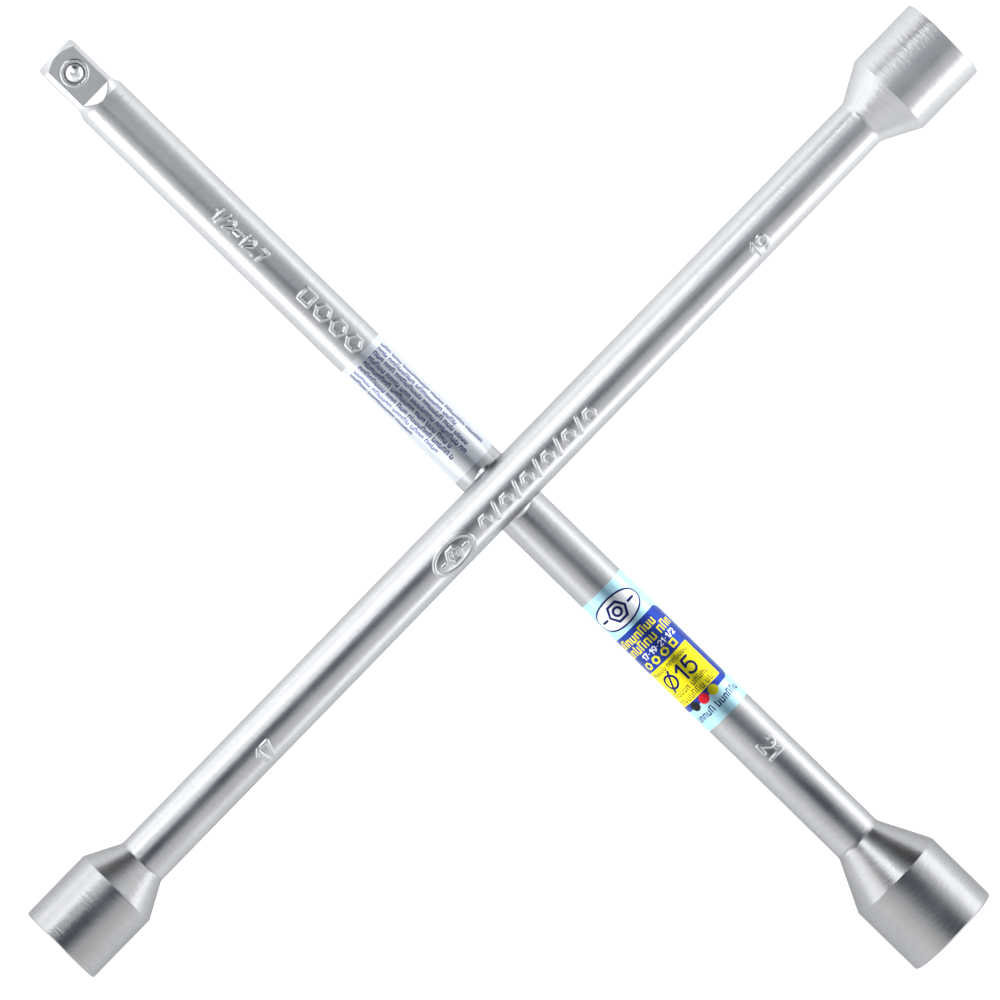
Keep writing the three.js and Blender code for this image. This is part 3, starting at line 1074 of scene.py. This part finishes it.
def studio_world():
    """A room that is brighter on its near side and in two corners, with a dark hood on top."""
    world = bpy.data.worlds.new("studio")
    world.use_nodes = True
    bpy.context.scene.world = world
    nodes, links = world.node_tree.nodes, world.node_tree.links
    direction = nodes.new("ShaderNodeTexCoord").outputs["Generated"]

    def toward(axis):
        node = nodes.new("ShaderNodeVectorMath")
        node.operation = "DOT_PRODUCT"
        links.new(direction, node.inputs[0])
        node.inputs[1].default_value = axis
        return node.outputs["Value"]

    def combined(operation, first, second):
        node = nodes.new("ShaderNodeMath")
        node.operation = operation
        links.new(first, node.inputs[0])
        if isinstance(second, float):
            node.inputs[1].default_value = second
        else:
            links.new(second, node.inputs[1])
        return node.outputs[0]

    lean = math.radians(HOOD_LEAN)
    hood_axis = PICTURE_UP * math.sin(lean) + Vector((0, 0, math.cos(lean)))
    away = nodes.new("ShaderNodeMath")
    away.operation = "ARCCOSINE"
    links.new(toward(hood_axis), away.inputs[0])
    slope = toward(place(*ROOM_SLOPE, 0))
    corners = combined("MULTIPLY", toward(PICTURE_RIGHT), toward(PICTURE_UP))
    room = combined("ADD", slope, combined("MULTIPLY", corners, ROOM_CORNERS))
    room = combined("MAXIMUM", combined("ADD", room, ROOM_LEVEL), ROOM_LEAST)
    inner, outer = (math.radians(angle) for angle in HOOD_EDGE)
    share = nodes.new("ShaderNodeMapRange")
    share.interpolation_type = "SMOOTHSTEP"
    links.new(away.outputs[0], share.inputs["Value"])
    share.inputs["From Min"].default_value = inner
    share.inputs["From Max"].default_value = outer
    dome = nodes.new("ShaderNodeMix")
    dome.data_type = "RGBA"
    links.new(share.outputs["Result"], dome.inputs["Factor"])
    dome.inputs[6].default_value = HOOD_TINT
    links.new(room, dome.inputs[7])
    links.new(dome.outputs[2], nodes["Background"].inputs["Color"])


def studio_lights():
    """Low softboxes on the left and right, a dimmer one at the upper right, two higher ones at the
    upper left, and a dim one over the wrench's far half."""
    upward = Vector((0, 0, 1))
    softbox("left_softbox", place(-0.52, 0.21, 0.21), PICTURE_RIGHT, 1.59, 0.42, 2.25)
    softbox("right_softbox", place(0.48, 0.08, 0.13), -PICTURE_RIGHT, 1.33, 0.26, 2.2)
    softbox("upper_right_softbox", place(0.5, 0.45, 0.5), -PICTURE_RIGHT, 0.7, 0.48, 0.8)
    toward_crossing = PICTURE_RIGHT - PICTURE_UP - upward * 1.9
    softbox("middle_softbox", place(-0.404, 0.404, 0.664), toward_crossing, 0.34, 0.62, 2.2)
    softbox("high_softbox", place(-0.86, 0.94, 1.0), -upward, 0.64, 0.6, 2.4)
    softbox("near_softbox", place(0, 0.31, 0.5), -upward, 0.56, 0.52, 0.72)


def studio_camera():
    """High above and a little to the left of the wrench, as in a catalogue picture."""
    data = bpy.data.cameras.new("camera")
    camera = bpy.data.objects.new("camera", data)
    bpy.context.scene.collection.objects.link(camera)
    level = (FRONT_Z + REAR_Z) / 2 * MM
    target = place(*CAMERA_TARGET, level)
    stand = place(*CAMERA_AT, CAMERA_HEIGHT)
    back = (stand - target).normalized()
    right = PICTURE_UP.cross(back).normalized()
    up = back.cross(right)
    camera.matrix_world = Matrix((
        (right.x, up.x, back.x, stand.x),
        (right.y, up.y, back.y, stand.y),
        (right.z, up.z, back.z, stand.z),
        (0, 0, 0, 1),
    ))
    data.sensor_width = SENSOR
    data.lens = SENSOR * (stand - target).length / VIEW_WIDTH
    data.clip_end = 20
    bpy.context.scene.camera = camera


studio_floor()
studio_world()
studio_lights()
studio_camera()
bpy.context.scene.view_settings.view_transform = "Standard"
